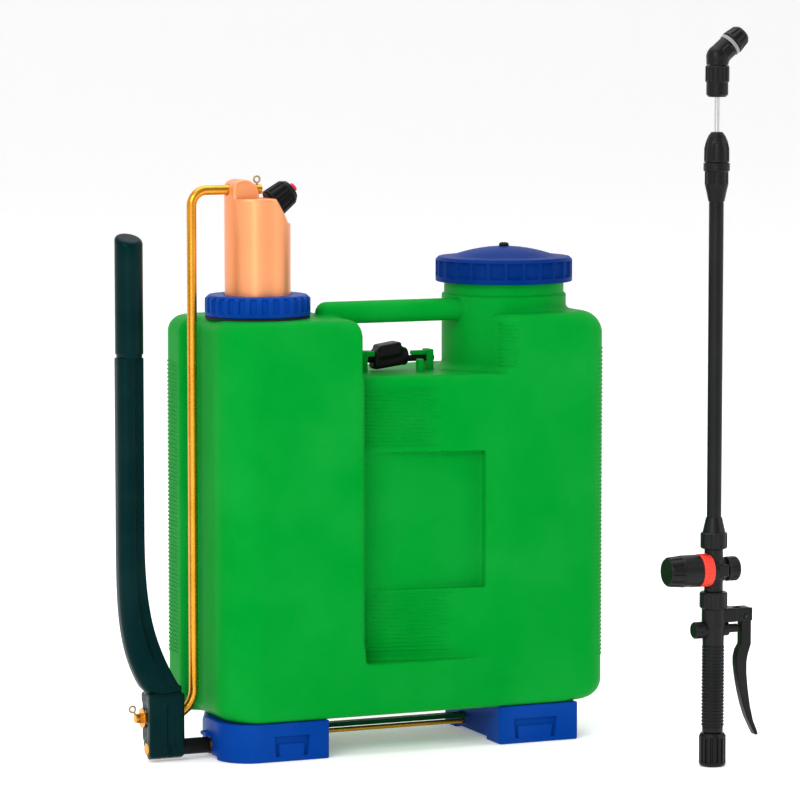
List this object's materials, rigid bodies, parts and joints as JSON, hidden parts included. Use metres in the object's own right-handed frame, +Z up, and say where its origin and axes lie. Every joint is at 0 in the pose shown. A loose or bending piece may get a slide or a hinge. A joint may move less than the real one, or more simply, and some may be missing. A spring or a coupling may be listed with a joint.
{
  "type": "knapsack sprayer",
  "caption": "Lever-operated knapsack sprayer: moulded tank with side pump lever, air chamber and screw filler cap, shown with its trigger lance and nozzle.",
  "frame": {"origin": "centre of the bounding box at floor level", "axes": "+Z up, -Y is the tank's moulded front, the pump lever is on -X and the lance stands towards +X"},
  "size_m": [0.4528, 0.2766, 0.5641],
  "materials": {
    "tank_green": "satin",
    "rail_green": "satin",
    "white_plastic": "satin",
    "rubber": "matt",
    "cap_blue": "satin",
    "foot_blue": "satin",
    "chamber_copper": "satin",
    "brass": "bright",
    "steel": "bright",
    "lever_teal": "satin",
    "black_fittings": "satin",
    "bush_plastic": "satin",
    "red_plastic": "satin",
    "lance_black": "satin",
    "ring_grey": "satin"
  },
  "bodies": {
    "tank": {"tank_body": "tank_green", "filler_neck": "tank_green", "pump_cylinder": "white_plastic", "foot_valve": "rubber", "collar_gasket": "rubber", "foot_bush": "bush_plastic", "left_foot": "foot_blue", "right_foot": "foot_blue", "base_rail": "rail_green", "tie_rod": "brass", "strainer": "white_plastic", "strap_bar": "black_fittings"},
    "collar": {"pump_collar": "cap_blue"},
    "chamber": {"pump_chamber": "chamber_copper", "piston_cup": "rubber", "outlet_spigot": "brass", "outlet_plug": "red_plastic"},
    "outlet": {"outlet_nut": "black_fittings"},
    "link": {"link_rod": "brass", "top_split_pin": "steel", "bottom_split_pin": "steel", "bottom_washer": "brass"},
    "lever": {"lever_hub": "lever_teal", "lever_arm": "lever_teal", "lever_grip": "lever_teal", "lever_shaft": "brass", "shaft_sleeve": "black_fittings"},
    "cap": {"filler_cap": "cap_blue", "cap_gasket": "rubber", "vent_valve": "black_fittings"},
    "buckle": {"strap_buckle": "black_fittings"},
    "lance": {"handle_body": "lance_black", "grip_sleeve": "lance_black", "valve_cap": "lance_black", "plunger_spring": "steel", "trigger_pin": "steel", "lower_nut": "lance_black", "regulator_body": "lance_black", "regulator_spring": "steel", "regulator_ring": "red_plastic", "regulator_cap": "lance_black", "tube_nut": "lance_black", "lance_tube": "lance_black", "lock_collar": "lance_black"},
    "hose_union": {"hose_nut": "lance_black"},
    "trigger": {"trigger": "lance_black"},
    "plunger": {"plunger": "steel"},
    "pressure_knob": {"regulator_knob": "lance_black"},
    "lock": {"lock_nut": "lance_black"},
    "extension": {"steel_tube": "steel", "elbow_nut": "lance_black"},
    "head": {"elbow": "lance_black", "nozzle_ring": "ring_grey", "nozzle_core": "brass"},
    "nozzle": {"nozzle_cap": "lance_black"}
  },
  "joints": [
    {"name": "lever_swing", "type": "hinge", "parent": "tank", "child": "lever", "pos_m": [-0.18765, 0.05835, 0.0095], "axis": [-1, 0, 0], "range_deg": [0, 60]},
    {"name": "pump_stroke", "type": "slide", "parent": "tank", "child": "chamber", "axis": [0, 0, -1], "range_m": [0, 0.0172]},
    {"name": "link_tilt", "type": "hinge", "parent": "chamber", "child": "link", "pos_m": [-0.12265, 0.06635, 0.438], "axis": [1, 0, 0], "range_deg": [0, 2.48]},
    {"name": "collar_turn", "type": "hinge", "parent": "tank", "child": "collar", "pos_m": [-0.10865, 0.06635, 0.347], "axis": [0, 0, 1], "continuous": true},
    {"name": "outlet_nut_turn", "type": "hinge", "parent": "chamber", "child": "outlet", "pos_m": [-0.09915, 0.06635, 0.4244], "axis": [0.809, 0, 0.5878], "continuous": true},
    {"name": "cap_lift", "type": "slide", "parent": "tank", "child": "cap", "axis": [0, 0, 1], "range_m": [0, 0.06]},
    {"name": "buckle_swing", "type": "hinge", "parent": "tank", "child": "buckle", "pos_m": [0.00335, 0.07635, 0.302], "axis": [1, 0, 0], "range_deg": [-25, 25]},
    {"name": "lance_lift", "type": "slide", "parent": "tank", "child": "lance", "axis": [0, 0, 1], "range_m": [0, 0.15]},
    {"name": "hose_nut_turn", "type": "hinge", "parent": "lance", "child": "hose_union", "pos_m": [0.18885, -0.12565, 0.012], "axis": [0, 0, 1], "continuous": true},
    {"name": "trigger_pull", "type": "hinge", "parent": "lance", "child": "trigger", "pos_m": [0.21355, -0.12565, 0.1147], "axis": [0, 1, 0], "range_deg": [0, 11], "stiffness_Nm_per_rad": 0.3, "springref_deg": -17.19},
    {"name": "plunger_push", "type": "slide", "parent": "lance", "child": "plunger", "axis": [-1, 0, 0], "range_m": [0, 0.0021]},
    {"name": "pressure_knob_turn", "type": "hinge", "parent": "lance", "child": "pressure_knob", "pos_m": [0.16085, -0.12565, 0.1512], "axis": [1, 0, 0], "continuous": true},
    {"name": "lock_nut_turn", "type": "hinge", "parent": "lance", "child": "lock", "pos_m": [0.18885, -0.12565, 0.468], "axis": [0, 0, 1], "continuous": true},
    {"name": "extension_slide", "type": "slide", "parent": "lance", "child": "extension", "axis": [0, 0, 1], "range_m": [0, 0.19]},
    {"name": "head_turn", "type": "hinge", "parent": "extension", "child": "head", "pos_m": [0.18885, -0.12565, 0.53], "axis": [0, 0, 1], "continuous": true},
    {"name": "nozzle_cap_turn", "type": "hinge", "parent": "head", "child": "nozzle", "pos_m": [0.20517, -0.12565, 0.55469], "axis": [0.766, 0, 0.6428], "continuous": true}
  ],
  "couplings": [
    {"joint": "pump_stroke", "follows": "lever_swing", "m_per_rad": 0.016425},
    {"joint": "link_tilt", "follows": "lever_swing", "ratio": 0.041333},
    {"joint": "plunger_push", "follows": "trigger_pull", "m_per_rad": 0.0108}
  ]
}
